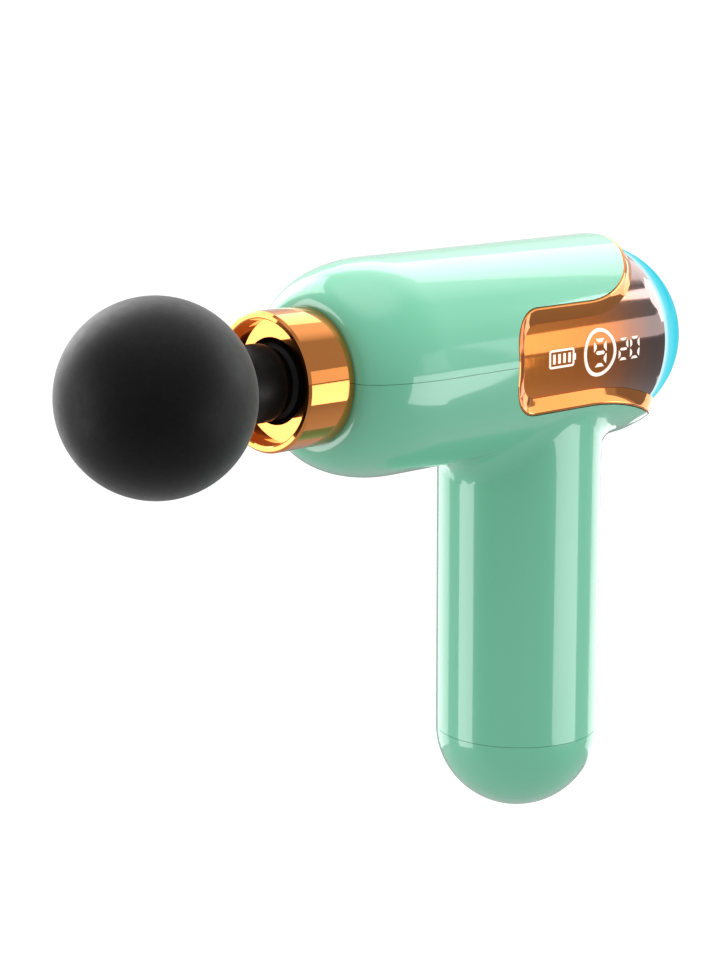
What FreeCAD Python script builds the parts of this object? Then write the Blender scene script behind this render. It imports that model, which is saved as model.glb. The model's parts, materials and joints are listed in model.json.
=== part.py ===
import FreeCAD, Part
import math
import os

from FreeCAD import Vector as V

# Handheld percussion massage gun, in millimetres.
# The origin is the centre of the round grip, +Z runs up the handle, and the head points along -X.
# Places inside the functions are given from the hub, the point where the barrel's axis crosses the
# handle's, and export() lifts every piece by HUB_Z at the end.

# ---- driving dimensions ----
WALL = 2.0
BARREL_R = 25.0
BARREL_FRONT_X = -69.5
SHOULDER_LENGTH = 19.5
FRONT_FACE_R = 16.0
DOME_X = 24.0

HANDLE_R = 19.85
HANDLE_WALL = 1.95
HANDLE_END_Z = -95.0
BLEND_R = 6.5
ROOT_Z = -31.0
ROOT_FLARE = 0.35
HUB_Z = 62.5
SEAM_GAP = 0.10

COLLAR_R = 15.6
COLLAR_LENGTH = 13.3
BALL_R = 21.5
BALL_X = -112.3
NECK_R = 8.7

WINDOW_HALF_HEIGHT = 12.6
WINDOW_END_X = -27.5
WINDOW_CORNER_R = 9.5
FLARE_TOP_R = 30.0
FLARE_TOP_DEG = 39.5
FLARE_BOTTOM_R = 74.0
FLARE_BOTTOM_DEG = 34.0
BEZEL_WIDTH = 4.1
BEZEL_TOP_R = 24.2
LENS_R = 22.8
LENS_SPLIT_X = 27.0

STROKE = 7.0
CRANK_R = STROKE / 2
BEARING_R = 5.5
YOKE_SLOT_CLEARANCE = 0.85
PISTON_R = 8.5
PISTON_FRONT_X = -80.6
PISTON_REAR_X = -16.5
SOCKET_R = 5.6
PIN_R = 5.5
PIN_LENGTH = 15.6
GUIDE_CLEARANCE = 0.05

FAR = 60.0
BARREL_INNER_R = BARREL_R - WALL
HANDLE_INNER_R = HANDLE_R - HANDLE_WALL
BARREL_INNER_FRONT_X = BARREL_FRONT_X + WALL
COLLAR_BACK_X = BARREL_FRONT_X
COLLAR_FRONT_X = BARREL_FRONT_X - COLLAR_LENGTH

X, Y, Z = V(1, 0, 0), V(0, 1, 0), V(0, 0, 1)


# ---- small helpers ----
def cylinder(radius, start, length, axis=Z):
    """A cylinder from the point start along axis."""
    return Part.makeCylinder(radius, length, start, axis)


def tube(outer, inner, start, length, axis=Z):
    return cylinder(outer, start, length, axis).cut(cylinder(inner, start, length, axis))


def x_tube(outer, inner, x0, x1):
    return tube(outer, inner, V(x0, 0, 0), x1 - x0, X)


def z_tube(outer, inner, z0, z1, x=0.0, y=0.0):
    return tube(outer, inner, V(x, y, z0), z1 - z0, Z)


def block(x0, x1, y0, y1, z0, z1):
    return Part.makeBox(x1 - x0, y1 - y0, z1 - z0, V(x0, y0, z0))


def fuse(shapes):
    shapes = list(shapes)
    joined = shapes[0].multiFuse(shapes[1:]) if len(shapes) > 1 else shapes[0]
    return joined.removeSplitter()


def turned(shape, degrees, axis=Z, centre=V(0, 0, 0)):
    copy = shape.copy()
    copy.rotate(centre, axis, degrees)
    return copy


def around(shape, count, axis=Z, start=0.0):
    """Copies of shape spread evenly round an axis through the hub."""
    return [turned(shape, start + 360.0 * i / count, axis) for i in range(count)]


def shifted(shape, x=0.0, y=0.0, z=0.0):
    copy = shape.copy()
    copy.translate(V(x, y, z))
    return copy


def revolved(outline, axis=X):
    """A solid of revolution from the (along, radius) corners of a closed outline."""
    points = [V(a, 0, r) if axis == X else V(r, 0, a) for a, r in outline]
    face = Part.Face(Part.makePolygon(points + [points[0]]))
    return face.revolve(V(0, 0, 0), axis, 360)


def ring(radius, thickness, x):
    """A round-section ring about the barrel's axis."""
    return Part.makeTorus(radius, thickness, V(x, 0, 0), X)


# ---- the outer form ----
def capsule(radius, dome_radius=None):
    """A rod about the barrel's axis whose rear end is a half ball."""
    rod = cylinder(radius, V(-FAR, 0, 0), FAR + DOME_X, X)
    return rod.fuse(Part.makeSphere(dome_radius or radius, V(DOME_X, 0, 0))).removeSplitter()


def barrel_form(inset):
    """The barrel as one solid of revolution: flat nose, elliptical shoulder, straight run, half-ball rear."""
    nose_x = BARREL_FRONT_X + inset
    nose_r = FRONT_FACE_R - inset
    radius = BARREL_R - inset
    straight_x = BARREL_FRONT_X + SHOULDER_LENGTH
    ellipse = Part.Ellipse(V(nose_x, 0, nose_r), V(straight_x, 0, radius), V(straight_x, 0, nose_r))
    shoulder = Part.ArcOfEllipse(ellipse, 0, math.pi / 2).toShape()
    if (shoulder.Vertexes[0].Point - V(nose_x, 0, nose_r)).Length > 1e-6:
        raise RuntimeError("the shoulder's arc doesn't start at the nose")
    mid = math.radians(45)
    rear = Part.Arc(
        V(DOME_X, 0, radius),
        V(DOME_X + radius * math.sin(mid), 0, radius * math.cos(mid)),
        V(DOME_X + radius, 0, 0),
    ).toShape()
    edges = [
        Part.makeLine(V(nose_x, 0, 0), V(nose_x, 0, nose_r)),
        shoulder,
        Part.makeLine(V(straight_x, 0, radius), V(DOME_X, 0, radius)),
        rear,
        Part.makeLine(V(DOME_X + radius, 0, 0), V(nose_x, 0, 0)),
    ]
    return Part.Face(Part.Wire(edges)).revolve(V(0, 0, 0), X, 360)


def window_outline(inset):
    """Side view of the display opening as a solid through the barrel: a tongue with rounded corners that
    flares to the rear. inset moves every edge of it inwards."""
    half = WINDOW_HALF_HEIGHT - inset
    end_x, corner = WINDOW_END_X + inset, WINDOW_CORNER_R - inset
    diagonal = corner * (1 - math.sqrt(0.5))
    top_r, bottom_r = FLARE_TOP_R + inset, FLARE_BOTTOM_R + inset
    top_centre = WINDOW_HALF_HEIGHT + FLARE_TOP_R
    bottom_centre = -(WINDOW_HALF_HEIGHT + FLARE_BOTTOM_R)

    def on_top(deg):
        a = math.radians(deg)
        return V(top_r * math.sin(a), 0, top_centre - top_r * math.cos(a))

    def on_bottom(deg):
        a = math.radians(deg)
        return V(bottom_r * math.sin(a), 0, bottom_centre + bottom_r * math.cos(a))

    rise, fall = math.radians(FLARE_TOP_DEG), math.radians(FLARE_BOTTOM_DEG)
    top_end = on_top(FLARE_TOP_DEG) + V(math.cos(rise), 0, math.sin(rise)) * FAR
    bottom_end = on_bottom(FLARE_BOTTOM_DEG) + V(math.cos(fall), 0, -math.sin(fall)) * FAR
    edges = [
        Part.Arc(
            V(end_x + corner, 0, -half), V(end_x + diagonal, 0, diagonal - half), V(end_x, 0, corner - half)
        ).toShape(),
        Part.makeLine(V(end_x, 0, corner - half), V(end_x, 0, half - corner)),
        Part.Arc(
            V(end_x, 0, half - corner), V(end_x + diagonal, 0, half - diagonal), V(end_x + corner, 0, half)
        ).toShape(),
        Part.makeLine(V(end_x + corner, 0, half), on_top(0)),
        Part.Arc(on_top(0), on_top(FLARE_TOP_DEG / 2), on_top(FLARE_TOP_DEG)).toShape(),
        Part.makeLine(on_top(FLARE_TOP_DEG), top_end),
        Part.makeLine(top_end, bottom_end),
        Part.makeLine(bottom_end, on_bottom(FLARE_BOTTOM_DEG)),
        Part.Arc(on_bottom(FLARE_BOTTOM_DEG), on_bottom(FLARE_BOTTOM_DEG / 2), on_bottom(0)).toShape(),
        Part.makeLine(on_bottom(0), V(end_x + corner, 0, -half)),
    ]
    prism = Part.Face(Part.Wire(edges)).extrude(V(0, 2 * FAR, 0))
    return shifted(prism, y=-FAR)


def blended_body():
    """Barrel and handle as one outer solid. The handle is a plain round bar up to its root, which flares a
    little into the barrel, and their joint is blended all round."""
    handle = revolved([
        (HANDLE_END_Z, 0.0),
        (HANDLE_END_Z, HANDLE_R),
        (ROOT_Z, HANDLE_R),
        (0.0, HANDLE_R + ROOT_FLARE),
        (0.0, 0.0),
    ], Z)
    joined = barrel_form(0.0).fuse(handle).removeSplitter()
    joint = []
    for edge in joined.Edges:
        box = edge.BoundBox
        near_handle = box.XMax < HANDLE_R + 1 and box.XMin > -HANDLE_R - 1
        if near_handle and -BARREL_R - 1 < box.ZMin and box.ZMax < -10:
            joint.append(edge)
    return joined.makeFillet(BLEND_R, joint)


BODY = blended_body()
OPENING = window_outline(0.0)


# ---- housing ----
BOSSES = [(-30.0, 10.4), (-30.0, -10.4), (17.8, 9.5), (17.8, -9.5)]
BOSS_R = 2.9
BOSS_TOP_Z = -13.0
FRAME_SCREW_R = 1.25
FRAME_SCREW_TIP_Z = -19.0
NOSE_HOLE_R = 14.2
LIP_T = 1.2
LIP_X0, LIP_X1 = -42.0, -29.5
LIP_REACH = 2.0
LIP_ROOT = 3.0
LIP_CLEARANCE = 0.12


def through_nose(radius):
    """A rod along the barrel's axis from far in front to the hub."""
    return cylinder(radius, V(-FAR * 2, 0, 0), FAR * 2, X)


def upper_shell():
    """The upper half of the barrel, with a lip on each side that reaches down inside the lower half."""
    half = block(-FAR * 2, FAR * 2, -FAR, FAR, SEAM_GAP / 2, FAR)
    shell = BODY.common(half).cut(barrel_form(WALL))
    shell = shell.cut(OPENING).cut(through_nose(NOSE_HOLE_R))
    lip = x_tube(BARREL_INNER_R, BARREL_INNER_R - LIP_T, LIP_X0, LIP_X1)
    lip = lip.common(block(LIP_X0, LIP_X1, -FAR, FAR, -LIP_REACH, LIP_ROOT))
    play = x_tube(BARREL_R, BARREL_INNER_R - LIP_CLEARANCE, LIP_X0, LIP_X1)
    play = play.common(block(LIP_X0, LIP_X1, -FAR, FAR, -LIP_REACH, SEAM_GAP / 2))
    return shell.fuse(lip.cut(play)).removeSplitter()


def lower_shell():
    """The lower half of the barrel and the handle in one piece, with the frame's four screw bosses."""
    half = block(-FAR * 2, FAR * 2, -FAR, FAR, HANDLE_END_Z + SEAM_GAP, -SEAM_GAP / 2)
    shell = BODY.common(half)
    inside = barrel_form(WALL).fuse(cylinder(HANDLE_INNER_R, V(0, 0, HANDLE_END_Z), -HANDLE_END_Z))
    shell = shell.cut(inside)
    for x, y in BOSSES:
        boss = cylinder(BOSS_R, V(x, y, -BARREL_R), BARREL_R + BOSS_TOP_Z)
        shell = shell.fuse(boss.common(barrel_form(WALL / 2)))
        shell = shell.cut(cylinder(FRAME_SCREW_R, V(x, y, FRAME_SCREW_TIP_Z), FAR))
    shell = shell.cut(OPENING).cut(through_nose(NOSE_HOLE_R))
    return shell.removeSplitter()


SOCKET_WIDTH, SOCKET_DEPTH = 8.94, 3.26
SOCKET_TOP_Z, SOCKET_MOUTH_Z = -107.0, -114.3
SOCKET_WALL = 0.3
SOCKET_PLAY = 0.25
SPIGOT_REACH = 4.0
SPIGOT_WALL = 1.5
FIT_GAP = 0.1
BOARD_T = 1.2
CHARGE_BOARD_R = 11.0
POST_X0, POST_X1 = 8.0, 10.6
POST_HALF_WIDTH = 1.5
POST_FOOT_Z = -112.6
POST_SINK = 1.15


def stadium(width, depth, z0, z1):
    """An upright prism with round ends: the outline of the charging socket."""
    reach = (width - depth) / 2
    middle = block(-depth / 2, depth / 2, -reach, reach, z0, z1)
    ends = [cylinder(depth / 2, V(0, side * reach, z0), z1 - z0) for side in (-1, 1)]
    return fuse([middle] + ends)


def handle_end_cap():
    """The half-ball foot: a spigot inside the handle, four posts under the charging board, the socket's
    opening."""
    centre = V(0, 0, HANDLE_END_Z)
    below = block(-FAR, FAR, -FAR, FAR, -FAR * 3, HANDLE_END_Z)
    cap = Part.makeSphere(HANDLE_R, centre).common(below).cut(Part.makeSphere(HANDLE_INNER_R, centre))
    spigot_r = HANDLE_INNER_R - FIT_GAP
    spigot_z0, spigot_z1 = HANDLE_END_Z - SPIGOT_REACH, HANDLE_END_Z + SPIGOT_REACH
    spigot = z_tube(spigot_r, spigot_r - SPIGOT_WALL, spigot_z0, spigot_z1)
    post = block(POST_X0, POST_X1, -POST_HALF_WIDTH, POST_HALF_WIDTH, POST_FOOT_Z, SOCKET_TOP_Z)
    post = post.common(Part.makeSphere(HANDLE_INNER_R + POST_SINK, centre))
    cap = fuse([cap, spigot] + around(post, 4, Z, 45.0))
    width, depth = SOCKET_WIDTH + 2 * SOCKET_PLAY, SOCKET_DEPTH + 2 * SOCKET_PLAY
    return cap.cut(stadium(width, depth, -FAR * 2, SOCKET_TOP_Z - 2)).removeSplitter()


# ---- front collar ----
RIM_INNER_R = 14.0
COLLAR_FLOOR_R = 13.6
SHADOW_GROOVE = 0.45
COLLAR_FLOOR_X = -79.6
COLLAR_FLOOR_T = 5.8
COLLAR_HOLE_R = 9.7
COLLAR_CHAMFER = 0.5
COLLAR_LIP_R = 14.8
COLLAR_LIP_T = 1.2
SEAL_R = 12.0
SEAL_BACK_X = -70.6
SEAL_CLEARANCE = 0.15
SEAL_RELIEF = 0.9
SEAL_LIP_T = 0.7
SEAL_LIP_SLOPE = 0.5


def front_collar():
    """A gold cup: chamfered rim, sloping inner wall, floor with the piston's hole, a shadow groove against
    the shells, and a spigot with a lip held by them."""
    spigot_r = NOSE_HOLE_R - FIT_GAP
    floor_back = COLLAR_FLOOR_X + COLLAR_FLOOR_T
    groove_x, groove_r = COLLAR_BACK_X - SHADOW_GROOVE, COLLAR_R - SHADOW_GROOVE
    lip_x = BARREL_INNER_FRONT_X + FIT_GAP
    return revolved([
        (COLLAR_FRONT_X, RIM_INNER_R + COLLAR_CHAMFER / 2),
        (COLLAR_FRONT_X, COLLAR_R - COLLAR_CHAMFER),
        (COLLAR_FRONT_X + COLLAR_CHAMFER, COLLAR_R),
        (groove_x, COLLAR_R),
        (groove_x, groove_r),
        (COLLAR_BACK_X - FIT_GAP, groove_r),
        (COLLAR_BACK_X - FIT_GAP, spigot_r),
        (lip_x, spigot_r),
        (lip_x, COLLAR_LIP_R),
        (lip_x + COLLAR_LIP_T, COLLAR_LIP_R),
        (lip_x + COLLAR_LIP_T, SEAL_R),
        (floor_back, SEAL_R),
        (floor_back, COLLAR_HOLE_R),
        (COLLAR_FLOOR_X, COLLAR_HOLE_R),
        (COLLAR_FLOOR_X, COLLAR_FLOOR_R),
        (COLLAR_FRONT_X + COLLAR_CHAMFER / 2, RIM_INNER_R),
    ])


def dust_seal():
    """A rubber wiper ring behind the collar's floor, whose two lips lie close to the piston."""
    front_x = COLLAR_FLOOR_X + COLLAR_FLOOR_T
    clear = PISTON_R + SEAL_CLEARANCE
    relief = clear + SEAL_RELIEF
    front_lip, back_lip = front_x + SEAL_LIP_T, SEAL_BACK_X - SEAL_LIP_T
    return revolved([
        (front_x, SEAL_R),
        (front_x, clear),
        (front_lip, clear),
        (front_lip + SEAL_LIP_SLOPE, relief),
        (back_lip - SEAL_LIP_SLOPE, relief),
        (back_lip, clear),
        (SEAL_BACK_X, clear),
        (SEAL_BACK_X, SEAL_R),
    ])


# ---- piston drive ----
SLEEVE_X0, SLEEVE_X1 = -66.0, -38.0
SLEEVE_R = 11.0
SLEEVE_FLANGE_R = 12.6
SLEEVE_FLANGE_T = 1.5
FRAME_TUBE_R = 13.5
BULKHEAD_T = 2.5
BULKHEAD_TOP_Z = 12.0
PLATE_TOP_Z, PLATE_BOTTOM_Z = -9.5, -12.0
PLATE_REAR_X = 21.0
RAIL_Y0, RAIL_Y1 = 13.0, 15.2
RAIL_REAR_X = 8.0
RAIL_TOP_Z = -5.0
LEAD_NOTCH_X = 12.0
LEAD_NOTCH_HALF_Y = 5.5
SCREW_PLAY = 0.15
DAMPER_X0, DAMPER_X1 = -47.0, -43.0
PISTON_BORE_R = 5.0
SOCKET_EXTRA_DEPTH = 1.4
YOKE_PIN_X = -25.0
YOKE_PIN_R = 1.5
YOKE_HALF_Z = 3.0
YOKE_HALF_Y = 12.2
YOKE_WALL = 3.0
YOKE_CORNER_R = 2.5
YOKE_NECK_HALF_Y = 6.0
YOKE_SPIGOT_R = 4.95
YOKE_SPIGOT_X = -32.0
WHEEL_Z0, WHEEL_Z1 = -8.5, -4.0
MOTOR_SCREW_CIRCLE_R = 9.5
MOTOR_SCREW_SEAT_Z = -10.9
MOTOR_SCREW_SEAT_R = 2.3
BEARING_TUBE_R = 5.5
LEAD_X = 12.9
LEAD_R = 0.55


def drill(radius, x, y):
    """An upright drill that ends at the hub's level."""
    return cylinder(radius, V(x, y, -BARREL_R), BARREL_R)


def motor_screw_drills(radius):
    return around(drill(radius, MOTOR_SCREW_CIRCLE_R, 0), 4, Z, 45)


def cross_drill():
    """The upright drill for the pin that holds the yoke in the piston."""
    return cylinder(YOKE_PIN_R, V(YOKE_PIN_X, 0, -FAR), 2 * FAR)


def guide_sleeve():
    """The plain bearing that the piston slides in."""
    sleeve = x_tube(SLEEVE_R, PISTON_R + GUIDE_CLEARANCE, SLEEVE_X0, SLEEVE_X1)
    flange = x_tube(SLEEVE_FLANGE_R, SLEEVE_R, SLEEVE_X0, SLEEVE_X0 + SLEEVE_FLANGE_T)
    return fuse([sleeve, flange])


def frame_body():
    """The frame's casting before its holes: a tube round the guide sleeve, a bulkhead, two rails and the
    plate that the motor hangs from."""
    nose = x_tube(FRAME_TUBE_R, SLEEVE_R, SLEEVE_X0 + SLEEVE_FLANGE_T, SLEEVE_X1 + 2)
    bulkhead = block(SLEEVE_X1, SLEEVE_X1 + BULKHEAD_T, -RAIL_Y1, RAIL_Y1, PLATE_BOTTOM_Z, BULKHEAD_TOP_Z)
    bulkhead = bulkhead.cut(through_nose(SLEEVE_R))
    plate = block(SLEEVE_X1, PLATE_REAR_X, -RAIL_Y1, RAIL_Y1, PLATE_BOTTOM_Z, PLATE_TOP_Z)
    plate = plate.common(cylinder(BARREL_INNER_R - 0.6, V(-FAR, 0, 0), FAR * 2, X))
    rail = block(SLEEVE_X1, RAIL_REAR_X, RAIL_Y0, RAIL_Y1, PLATE_BOTTOM_Z, RAIL_TOP_Z)
    other_rail = shifted(rail, y=-RAIL_Y0 - RAIL_Y1)
    return fuse([nose, bulkhead, plate, rail, other_rail])


def drive_frame():
    """The cast frame with the leads' notch, the bearing tube's hole and the screws' holes."""
    notch = block(LEAD_NOTCH_X, FAR, -LEAD_NOTCH_HALF_Y, LEAD_NOTCH_HALF_Y, -BARREL_R, 0.0)
    frame = frame_body().cut(notch).cut(drill(BEARING_TUBE_R + FIT_GAP, 0, 0))
    for x, y in BOSSES:
        frame = frame.cut(drill(FRAME_SCREW_R + SCREW_PLAY, x, y))
    for hole in motor_screw_drills(FRAME_SCREW_R):
        frame = frame.cut(hole)
    seat = cylinder(MOTOR_SCREW_SEAT_R, V(MOTOR_SCREW_CIRCLE_R, 0, MOTOR_SCREW_SEAT_Z), BARREL_R)
    for hole in around(seat, 4, Z, 45):
        frame = frame.cut(hole)
    return frame.removeSplitter()


def piston_tube():
    """The hollow piston: the head's socket in front and the yoke's spigot behind."""
    bore_x = PISTON_FRONT_X + PIN_LENGTH + SOCKET_EXTRA_DEPTH
    outer_chamfer, inner_chamfer = 0.8, 0.5
    piston = revolved([
        (PISTON_FRONT_X, SOCKET_R + inner_chamfer),
        (PISTON_FRONT_X, PISTON_R - outer_chamfer),
        (PISTON_FRONT_X + outer_chamfer, PISTON_R),
        (PISTON_REAR_X, PISTON_R),
        (PISTON_REAR_X, PISTON_BORE_R),
        (bore_x, PISTON_BORE_R),
        (bore_x, SOCKET_R),
        (PISTON_FRONT_X + inner_chamfer, SOCKET_R),
    ])
    return piston.cut(cross_drill())


def drive_yoke():
    """The slotted block that the eccentric bearing pushes, with its neck and the spigot inside the piston."""
    slot_x, slot_y = BEARING_R + YOKE_SLOT_CLEARANCE, CRANK_R + BEARING_R + 0.4
    half_x = slot_x + YOKE_WALL
    body = block(-half_x, half_x, -YOKE_HALF_Y, YOKE_HALF_Y, -YOKE_HALF_Z, YOKE_HALF_Z)
    upright = [edge for edge in body.Edges if abs(edge.tangentAt(edge.FirstParameter).z) > 0.9]
    body = body.makeFillet(YOKE_CORNER_R, upright)
    body = body.cut(block(-slot_x, slot_x, -slot_y, slot_y, -FAR, FAR))
    neck_x0, neck_x1 = PISTON_REAR_X + FIT_GAP, 0.5 - half_x
    neck = block(neck_x0, neck_x1, -YOKE_NECK_HALF_Y, YOKE_NECK_HALF_Y, -YOKE_HALF_Z, YOKE_HALF_Z)
    spigot = cylinder(YOKE_SPIGOT_R, V(YOKE_SPIGOT_X, 0, 0), neck_x0 + 0.5 - YOKE_SPIGOT_X, X)
    return fuse([body, neck, spigot]).cut(cross_drill())


def yoke_pin():
    half = PISTON_R - 0.3
    return cylinder(YOKE_PIN_R, V(YOKE_PIN_X, 0, -half), 2 * half)


def front_damper():
    """The rubber ring that carries the frame's nose inside the shells."""
    return x_tube(BARREL_INNER_R - FIT_GAP, FRAME_TUBE_R, DAMPER_X0, DAMPER_X1)


def damper_washers():
    """The rubber washers between the lower shell's bosses and the frame's plate."""
    outer, inner = BOSS_R + 0.6, FRAME_SCREW_R + SCREW_PLAY
    return Part.makeCompound([z_tube(outer, inner, BOSS_TOP_Z, PLATE_BOTTOM_Z, x, y) for x, y in BOSSES])


def screw(x, y, head_z, length, head_r, shank_r=FRAME_SCREW_R, head_t=1.3):
    """A pan-head screw pointing down, with a cross slot in its head."""
    head = cylinder(head_r, V(x, y, head_z), head_t)
    slot_z = head_z + head_t - 0.6
    for degrees in (0, 90):
        slot = block(-head_r * 0.6, head_r * 0.6, -0.3, 0.3, slot_z, slot_z + 1.6)
        head = head.cut(shifted(turned(slot, degrees), x, y))
    return head.fuse(cylinder(shank_r, V(x, y, head_z - length), length + 0.1)).removeSplitter()


def frame_screws():
    return Part.makeCompound([screw(x, y, PLATE_TOP_Z, 8.5, 2.4) for x, y in BOSSES])


def motor_screws():
    made = screw(MOTOR_SCREW_CIRCLE_R, 0, MOTOR_SCREW_SEAT_Z, 3.0, 2.1)
    return Part.makeCompound(around(made, 4, Z, 45))


# ---- motor ----
BELL_R, BELL_INNER_R = 15.5, 14.5
BELL_Z0, BELL_Z1 = -30.0, -14.6
BELL_FLOOR_T = 1.4
MAGNET_INNER_R = 13.15
MAGNET_Z0, MAGNET_Z1 = -26.5, -15.2
MOTOR_PLATE_R = 14.5
MOTOR_PLATE_Z0 = -14.0
STATOR_R = 12.8
STATOR_HUB_R = 6.9
STATOR_Z0, STATOR_Z1 = -25.0, -16.0
TOOTH_HALF_WIDTH = 1.1
SHOE_INNER_R, SHOE_HALF_WIDTH = 11.4, 3.2
COIL_X0, COIL_X1 = 7.4, 11.1
COIL_HALF_WIDTH = 2.3
COIL_Z0, COIL_Z1 = -26.1, -14.9
COIL_CORNER_R = 0.9
BEARING_TUBE_Z0 = -27.0
BEARING_BORE_R = 4.5
LEAD_YS = (-2.4, 0.0, 2.4)
SHAFT_R = 2.0
TEETH = 9
MAGNETS = 12
BALLS = 7


def motor_base():
    """The motor's fixed plate and bearing tube."""
    plate = z_tube(MOTOR_PLATE_R, BEARING_TUBE_R - 0.5, MOTOR_PLATE_Z0, PLATE_BOTTOM_Z)
    neck = z_tube(BEARING_TUBE_R, BEARING_BORE_R, BEARING_TUBE_Z0, PLATE_TOP_Z)
    base = fuse([plate, neck])
    for hole in motor_screw_drills(FRAME_SCREW_R):
        base = base.cut(hole)
    for y in LEAD_YS:
        base = base.cut(drill(LEAD_R + 0.1, LEAD_X, y))
    return base


def stator_core():
    """The laminated core: a hub and nine teeth with shoes."""
    hub = z_tube(STATOR_HUB_R, BEARING_TUBE_R, STATOR_Z0, STATOR_Z1)
    stem_x0, stem_x1 = STATOR_HUB_R - 0.4, SHOE_INNER_R + 0.4
    stem = block(stem_x0, stem_x1, -TOOTH_HALF_WIDTH, TOOTH_HALF_WIDTH, STATOR_Z0, STATOR_Z1)
    shoe = z_tube(STATOR_R, SHOE_INNER_R, STATOR_Z0, STATOR_Z1)
    shoe = shoe.common(block(0, FAR, -SHOE_HALF_WIDTH, SHOE_HALF_WIDTH, -FAR, 0))
    return fuse([hub] + around(fuse([stem, shoe]), TEETH))


def stator_coils():
    """A round-cornered winding on each tooth."""
    tooth = block(0, FAR, -TOOTH_HALF_WIDTH, TOOTH_HALF_WIDTH, STATOR_Z0, STATOR_Z1)
    coil = block(COIL_X0, COIL_X1, -COIL_HALF_WIDTH, COIL_HALF_WIDTH, COIL_Z0, COIL_Z1).cut(tooth)
    outer_edges = [
        edge for edge in coil.Edges
        if abs(edge.tangentAt(edge.FirstParameter).x) > 0.9 and abs(edge.CenterOfMass.y) > 2
    ]
    return Part.makeCompound(around(coil.makeFillet(COIL_CORNER_R, outer_edges), TEETH))


def rotor_bell():
    """The outer rotor: a steel bell with six cooling windows in its floor."""
    bell = z_tube(BELL_R, BELL_INNER_R, BELL_Z0, BELL_Z1)
    floor = z_tube(BELL_INNER_R + 0.2, SHAFT_R, BELL_Z0, BELL_Z0 + BELL_FLOOR_T)
    window_r, circle_r = 2.4, 8.6
    for hole in around(cylinder(window_r, V(circle_r, 0, BELL_Z0 - 1), 4), 6):
        floor = floor.cut(hole)
    return fuse([bell, floor])


def rotor_magnets():
    span = 360.0 / MAGNETS - 4.0
    arc = z_tube(BELL_INNER_R, MAGNET_INNER_R, MAGNET_Z0, MAGNET_Z1)
    wedge = Part.makeCylinder(FAR, FAR, V(0, 0, -FAR), Z, span)
    return Part.makeCompound(around(arc.common(wedge), MAGNETS))


def motor_shaft():
    return cylinder(SHAFT_R, V(0, 0, BELL_Z0), WHEEL_Z1 - SHAFT_STEP - BELL_Z0)


BEARING_LEVELS = [(-26.8, -23.8), (-13.2, -10.2)]
RACE_OUTER_R, RACE_INNER_R = 3.65, 2.75
BALL_CIRCLE_R = 3.2
SMALL_BALL_R = 0.43


def bearing_rings_outer():
    return Part.makeCompound([z_tube(BEARING_BORE_R, RACE_OUTER_R, z0, z1) for z0, z1 in BEARING_LEVELS])


def bearing_rings_inner():
    return Part.makeCompound([z_tube(RACE_INNER_R, SHAFT_R, z0, z1) for z0, z1 in BEARING_LEVELS])


def bearing_balls():
    balls = []
    for z0, z1 in BEARING_LEVELS:
        balls += around(Part.makeSphere(SMALL_BALL_R, V(BALL_CIRCLE_R, 0, (z0 + z1) / 2)), BALLS)
    return Part.makeCompound(balls)


HUB_R = 7.5
WEIGHT_R = 12.0
WEIGHT_EDGE_Y = -1.5
JOURNAL_R = 2.5
JOURNAL_TOP_Z = 2.3
BEARING_HALF_T = 2.0
ECCENTRIC_INNER_R, ECCENTRIC_OUTER_R = 3.3, 4.6
ECCENTRIC_BALL_R = 0.62
ECCENTRIC_BALLS = 8
SHAFT_STEP = 0.6


def crank_wheel():
    """The eccentric wheel: hub, counterweight opposite the journal, and the journal with its tapped hole."""
    height = WHEEL_Z1 - WHEEL_Z0
    hub = cylinder(HUB_R, V(0, 0, WHEEL_Z0), height)
    weight = cylinder(WEIGHT_R, V(0, 0, WHEEL_Z0), height)
    weight = weight.common(block(-FAR, FAR, -FAR, WEIGHT_EDGE_Y, -FAR, 0))
    journal = cylinder(JOURNAL_R, V(0, CRANK_R, WHEEL_Z1 - 0.5), JOURNAL_TOP_Z - WHEEL_Z1 + 0.5)
    wheel = fuse([hub, weight, journal])
    wheel = wheel.cut(cylinder(SHAFT_R, V(0, 0, -FAR), FAR + WHEEL_Z1 - SHAFT_STEP))
    return wheel.cut(cylinder(1.0, V(0, CRANK_R, -2.5), 10))


def eccentric_bearing():
    """The ball bearing on the journal: two rings and eight balls."""
    inner = z_tube(ECCENTRIC_INNER_R, JOURNAL_R, -BEARING_HALF_T, BEARING_HALF_T, 0, CRANK_R)
    outer = z_tube(BEARING_R, ECCENTRIC_OUTER_R, -BEARING_HALF_T, BEARING_HALF_T, 0, CRANK_R)
    circle_r = (ECCENTRIC_INNER_R + ECCENTRIC_OUTER_R) / 2
    balls = around(Part.makeSphere(ECCENTRIC_BALL_R, V(circle_r, 0, 0)), ECCENTRIC_BALLS)
    return Part.makeCompound([inner, outer] + [shifted(ball, y=CRANK_R) for ball in balls])


def bearing_spacer():
    return z_tube(ECCENTRIC_INNER_R, JOURNAL_R, WHEEL_Z1, -BEARING_HALF_T, 0, CRANK_R)


def bearing_screw():
    return screw(0, CRANK_R, JOURNAL_TOP_Z, 4.7, 3.0, 1.0, 1.2)


def motor_leads():
    """The three winding leads, up through the motor's plate."""
    return Part.makeCompound([cylinder(LEAD_R, V(LEAD_X, y, COIL_Z1), 8.9) for y in LEAD_YS])


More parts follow.
